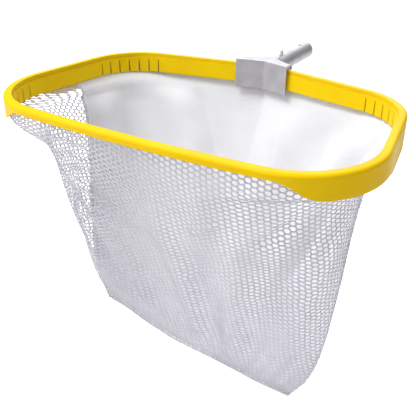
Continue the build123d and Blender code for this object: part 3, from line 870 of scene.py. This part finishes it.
def tape_finish():
    """Woven binding tape, ribbed across its width."""
    material, tree, shader = start_material("seam_tape", 0.72)
    place = surface_coordinates(tree)
    weave = use_group(tree, WEAVE, {"Place": place, "Pitch": 0.0008})
    uneven = use_group(tree, UNEVEN, {"Place": place, "Broad scale": 30.0, "Fine scale": 300.0})
    body = blend_colours(tree, uneven["Broad"], (0.84, 0.84, 0.87, 1), (0.74, 0.74, 0.79, 1))
    shade = blend_colours(tree, weave["Gap"], body, (0.55, 0.55, 0.6, 1))
    tree.links.new(shade, shader.inputs["Base Color"])
    bump(tree, shader, weave["Height"], 0.6, 0.0003)
    return material


def thread_finish():
    """Glossy white sewing thread, slightly twisted."""
    material, tree, shader = start_material("sewing_thread", 0.4)
    place = object_coordinates(tree)
    lines = use_group(tree, LINES, {"Place": place, "Stretch": (1.0, 1.0, 1.0), "Scale": 2400.0})
    body = blend_colours(tree, lines["Lines"], (0.9, 0.9, 0.9, 1), (0.66, 0.66, 0.7, 1))
    tree.links.new(body, shader.inputs["Base Color"])
    bump(tree, shader, lines["Lines"], 0.4, 0.0001)
    return material


NET = net_finish()
CLOTH = cloth_finish()
TAPE = tape_finish()
THREAD = thread_finish()

# %% [markdown]
# ## The net
# A knitted net is a lattice of six-sided cells. The lattice is laid flat on the panel, kept at one size,
# and cut off at the seams, as cloth from a roll would be. A Geometry Nodes tree then opens a hole in every
# cell, which leaves a strand all round it.

# %% The lattice of cells
CELL_TALL = 0.0076           # from a cell to the one below it
CELL_STEP = 0.00268          # a third of the distance from column to column
SMALLEST_CELL = 0.15         # a cut cell with less than this share of a whole one is left out
CELL_CORNERS = ((-2, 0), (-1, 1), (1, 1), (2, 0), (1, -1), (-1, -1))


def flat_point(i, j, rows, half_widths):
    """A lattice point, cut off at the panel's edges: metres across, share down, half the width there."""
    down = min(max(j, 0), rows) / rows
    half = float(np.interp(down, np.linspace(0, 1, LEVELS), half_widths))
    return max(-half, min(half, i * CELL_STEP)), down, half


def lattice_mesh(name, grid):
    """Six-sided cells over a panel, with their flat places as a UV map in metres."""
    tall = column_length(grid)
    rows = round(tall / (CELL_TALL / 2))
    half_widths = row_lengths(grid) / 2
    columns = int(half_widths.max() / (3 * CELL_STEP)) + 2
    keys, spots, faces = {}, [], []

    def vertex(i, j):
        if (i, j) not in keys:
            keys[(i, j)] = len(spots)
            spots.append(flat_point(i, j, rows, half_widths))
        return keys[(i, j)]

    for j in range(rows + 1):
        for column in range(-columns, columns + 1):
            if (column + j) % 2 == 0:
                continue
            ring = [(3 * column + a, j + b) for a, b in CELL_CORNERS]
            flat = [flat_point(a, b, rows, half_widths) for a, b in ring]
            area = sum(p[0] * q[1] - q[0] * p[1] for p, q in zip(flat, flat[1:] + flat[:1])) / 2 * tall
            if abs(area) > SMALLEST_CELL * 3 * CELL_STEP * CELL_TALL:
                faces.append([vertex(*point) for point in ring])
    spots = np.array(spots)
    places = on_grid(grid, spots[:, 0] / spots[:, 2], spots[:, 1])
    mesh = bpy.data.meshes.new(name)
    mesh.from_pydata(places.tolist(), [], faces)
    lay_flat(mesh, "panel", np.column_stack([spots[:, 0], spots[:, 1] * tall]))
    print(name, len(faces), "cells,", CELL_TALL, "tall")
    return mesh


# %% The tree that opens the cells


def holes_tree():
    """Open every face: pull a copy of it towards its middle and take the copy away."""
    tree, given, out = start_tree("open_cells", [("Hole share", "NodeSocketFloat"),
                                                 ("Material", "NodeSocketMaterial")])
    middle = add(tree, "GeometryNodeCaptureAttribute", domain="FACE")
    middle.capture_items.new("VECTOR", "middle")
    where = add(tree, "GeometryNodeInputPosition")
    tree.links.new(given.outputs["Geometry"], middle.inputs["Geometry"])
    tree.links.new(where.outputs[0], middle.inputs["middle"])
    copy = add(tree, "GeometryNodeExtrudeMesh", {"Mesh": middle.outputs["Geometry"], "Offset Scale": 0.0,
                                                 "Individual": True}, mode="FACES")
    pull = add(tree, "ShaderNodeMix", data_type="VECTOR")
    tree.links.new(given.outputs["Hole share"], pull.inputs[0])
    tree.links.new(middle.outputs["middle"], pull.inputs[4])
    tree.links.new(where.outputs[0], pull.inputs[5])
    moved = add(tree, "GeometryNodeSetPosition", {"Geometry": copy.outputs["Mesh"],
                                                  "Selection": copy.outputs["Top"],
                                                  "Position": pull.outputs[1]})
    opened = add(tree, "GeometryNodeDeleteGeometry", {"Geometry": moved.outputs[0],
                                                      "Selection": copy.outputs["Top"]}, domain="FACE")
    return end_tree(tree, given, out, opened.outputs[0])


# %% Make the net
NET_THICK = 0.0009
HOLE_SHARE = 0.75            # the hole's width as a share of its cell's

net = new_object("bag_net_cells", lattice_mesh("bag_net_cells", NET_GRID))
grow(net, holes_tree(), {"Hole share": HOLE_SHARE, "Material": NET})
thicken(net, NET_THICK)
finish_piece(net, NET, ["bag_net"])

# %% [markdown]
# ## The cloth back
# The back panel is one smooth sheet, so it needs no cells: the grid itself is its mesh. It gets a UV map
# in metres for its weave, and a Solidify modifier gives it the thickness of real cloth.

# %% Make the cloth
CLOTH_THICK = 0.0006
CLOTH_EVERY = 2              # use every second point of the fine grid


def sheet_mesh(name, grid):
    """A grid as a mesh of quads, with a UV map in metres."""
    rows, columns = grid.shape[:2]
    faces = [(r * columns + c, (r + 1) * columns + c, (r + 1) * columns + c + 1, r * columns + c + 1)
             for r in range(rows - 1) for c in range(columns - 1)]
    mesh = bpy.data.meshes.new(name)
    mesh.from_pydata(grid.reshape(-1, 3).tolist(), [], faces)
    half = row_lengths(grid)[:, None] / 2
    across = np.linspace(-1, 1, columns)[None, :] * half
    down = np.linspace(0, column_length(grid), rows)[:, None] + 0 * across
    lay_flat(mesh, "panel", np.stack([across, down], axis=2).reshape(-1, 2))
    return mesh


cloth_mesh = sheet_mesh("bag_back_cloth", CLOTH_GRID[::CLOTH_EVERY, ::CLOTH_EVERY])
cloth = new_object("bag_back_cloth", cloth_mesh)
thicken(cloth, CLOTH_THICK)
finish_piece(cloth, CLOTH, ["bag_back_panel"])

# %% [markdown]
# ## Seams
# Where net and cloth meet, both edges are folded into a woven tape and sewn down. A tape is a flat
# rounded strip swept along the seam, so it can be made from the seam's points and the outward direction
# at each. The bottom seam is made the same way.

# %% Sweep a tape
TAPE_HALF = 0.0042           # half its width
TAPE_THICK = 0.0011
TAPE_SIDES = 10              # points round its section


def tape_directions(points, outward):
    """Directions along a tape and across it."""
    tangents = unit(np.gradient(points, axis=0))
    return tangents, unit(np.cross(tangents, outward))


def sweep_tape(name, points, outward, half, thick):
    """A closed flat strip along points, facing outward, with a UV map in metres."""
    tangents, across = tape_directions(points, outward)
    out = np.cross(across, tangents)
    turns = np.linspace(0, 2 * math.pi, TAPE_SIDES, endpoint=False) + math.pi / TAPE_SIDES
    profile = [(math.copysign(abs(math.cos(a)) ** 0.5, math.cos(a)) * half,
                math.copysign(abs(math.sin(a)) ** 0.7, math.sin(a)) * thick / 2) for a in turns]
    rings = np.stack([points + across * a + out * b for a, b in profile], axis=1)
    count = len(points)
    faces = [(r * TAPE_SIDES + k, r * TAPE_SIDES + (k + 1) % TAPE_SIDES,
              (r + 1) * TAPE_SIDES + (k + 1) % TAPE_SIDES, (r + 1) * TAPE_SIDES + k)
             for r in range(count - 1) for k in range(TAPE_SIDES)]
    faces += [tuple(range(TAPE_SIDES - 1, -1, -1)),
              tuple((count - 1) * TAPE_SIDES + k for k in range(TAPE_SIDES))]
    mesh = bpy.data.meshes.new(name)
    mesh.from_pydata(rings.reshape(-1, 3).tolist(), [], faces)
    along = distance_along(points)
    lay_flat(mesh, "tape", np.array([(a, along[r]) for r in range(count) for a, b in profile]))
    return mesh


# %% Follow the seams
SEAM_FROM = 0.11             # share of the way down, just under the skirt
SEAM_POINTS = 90
SEAM_SIGHT = 0.94            # points this share across, to see which way the seam faces
LEAST_SIDEWAYS = 0.002       # a seam faces at least this much to its own side
PROUD = 0.0006               # how far a tape stands off the cloth
BOTTOM_END = 0.995           # share of the half width where the bottom tape ends


def seam_line(side):
    """A side seam's points, and the direction that faces out of the bag there."""
    down = np.linspace(SEAM_FROM, 1.0, SEAM_POINTS)
    points = on_grid(NET_GRID, np.full(SEAM_POINTS, float(side)), down)
    inner = on_grid(NET_GRID, np.full(SEAM_POINTS, side * SEAM_SIGHT), down)
    behind = on_grid(CLOTH_GRID, np.full(SEAM_POINTS, side * SEAM_SIGHT), down)
    outward = points - (inner + behind) / 2
    outward[:, 0] = side * np.maximum(side * outward[:, 0], LEAST_SIDEWAYS)
    outward = unit(outward)
    return points + outward * PROUD, outward


def bottom_line():
    """The bottom seam's points. It faces straight down."""
    across = np.linspace(-1, 1, 2 * SEAM_POINTS)
    down = np.ones(2 * SEAM_POINTS)
    points = (on_grid(NET_GRID, across, down) + on_grid(CLOTH_GRID, across, down)) / 2
    points = points[np.abs(across) < BOTTOM_END]
    tangents = np.gradient(points, axis=0)
    outward = np.cross(tangents, np.array([0.0, 1.0, 0.0]))
    return points, unit(outward * -np.sign(outward[:, 2:3]))


SEAMS = {
    "side_tape_left": (*seam_line(-1), "side_seam_left"),
    "side_tape_right": (*seam_line(1), "side_seam_right"),
    "bottom_tape": (*bottom_line(), "bottom_seam"),
}
for name, (points, outward, node) in SEAMS.items():
    tape = new_object(name, sweep_tape(name, points, outward, TAPE_HALF, TAPE_THICK))
    finish_piece(tape, TAPE, [node])

# %% [markdown]
# ## Stitches
# A row of stitches runs down each edge of every tape. This is Geometry Nodes' own ground: resample the
# row at the stitch spacing, put a small thread on every point, and turn it to follow the row.

# %% The tree that sews
STITCH_LONG = 0.0030         # one thread, the distance to the next, and its thickness
STITCH_PITCH = 0.0044
STITCH_THICK = 0.00055


def stitch_tree():
    """A thread on every point of a resampled row."""
    tree, given, out = start_tree("sew_rows", [
        ("Pitch", "NodeSocketFloat"), ("Length", "NodeSocketFloat"), ("Thickness", "NodeSocketFloat"),
        ("Material", "NodeSocketMaterial")])
    row = add(tree, "GeometryNodeMeshToCurve", {"Mesh": given.outputs["Geometry"]})
    spaced = add(tree, "GeometryNodeResampleCurve", {"Curve": row.outputs[0],
                                                     "Length": given.outputs["Pitch"]}, mode="LENGTH")
    thread = add(tree, "GeometryNodeMeshUVSphere", {"Segments": 6, "Rings": 5, "Radius": 0.5})
    size = add(tree, "ShaderNodeCombineXYZ", {"X": given.outputs["Thickness"],
                                              "Y": given.outputs["Thickness"],
                                              "Z": given.outputs["Length"]})
    shaped = add(tree, "GeometryNodeTransform", {"Geometry": thread.outputs["Mesh"],
                                                 "Scale": size.outputs[0]})
    along = add(tree, "GeometryNodeInputTangent")
    turn = add(tree, "FunctionNodeAlignRotationToVector", {"Vector": along.outputs[0]}, axis="Z")
    sewn = add(tree, "GeometryNodeInstanceOnPoints", {"Points": spaced.outputs[0],
                                                      "Instance": shaped.outputs[0],
                                                      "Rotation": turn.outputs[0]})
    return end_tree(tree, given, out, sewn.outputs[0])


# %% Sew the tapes
ROW_INSET = 0.0026           # how far each row lies from the tape's middle


def stitch_rows():
    """Two rows along every tape, just off its outer face."""
    places, edges = [], []
    for points, outward, _ in SEAMS.values():
        across = tape_directions(points, outward)[1]
        for side in (-1, 1):
            start = len(places)
            places += (points + across * side * ROW_INSET + outward * TAPE_THICK / 2)[1:-1].tolist()
            edges += [(k, k + 1) for k in range(start, len(places) - 1)]
    mesh = bpy.data.meshes.new("seam_stitches")
    mesh.from_pydata(places, edges, [])
    return mesh


stitches = new_object("seam_stitches", stitch_rows())
grow(stitches, stitch_tree(), {"Pitch": STITCH_PITCH, "Length": STITCH_LONG, "Thickness": STITCH_THICK,
                               "Material": THREAD})
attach(stitches, "net_frame")
print("stitches:", len(stitches.data.polygons), "faces")
